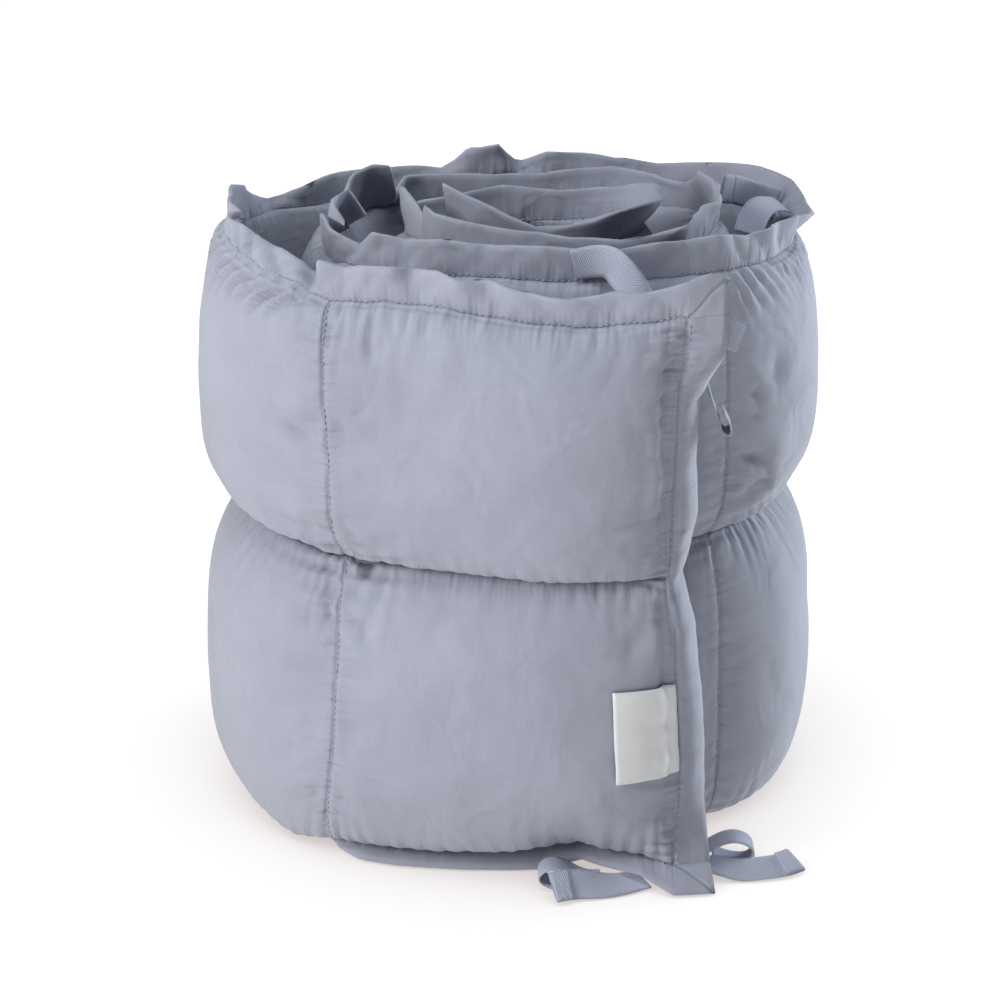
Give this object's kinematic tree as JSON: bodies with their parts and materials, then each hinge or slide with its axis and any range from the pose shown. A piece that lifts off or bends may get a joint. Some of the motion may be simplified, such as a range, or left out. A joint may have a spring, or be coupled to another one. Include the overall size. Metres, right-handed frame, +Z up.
{
  "type": "crib bumper",
  "caption": "Rolled crib bumper: a long quilted and filled cotton strip with a flat sewn border and ribbed tape ties, wound up and standing on its long edge.",
  "frame": {"origin": "middle of the whole object's box at the surface it stands on", "axes": "+Z up along the roll's axis, -Y towards the front panel with the free end, +X to the free end's side"},
  "size_m": [0.3004, 0.3113, 0.3],
  "materials": {
    "cotton": "plain woven pale blue-grey cotton, matte, softly creased",
    "tape": "ribbed woven cotton tape, matte, a shade lighter than the cloth",
    "label": "smooth white woven tape, slightly lustrous, bare"
  },
  "bodies": {
    "root": {"quilted_pad": "cotton", "side_label": "label", "tie_top_middle": "tape", "tie_top_right": "tape", "tie_top_right_curl": "tape", "tie_end_upper": "tape", "tie_end_upper_edge": "tape", "tie_floor_right": "tape", "tie_floor_right_loop": "tape", "tie_floor_left": "tape", "tie_floor_left_loop": "tape"}
  },
  "joints": []
}
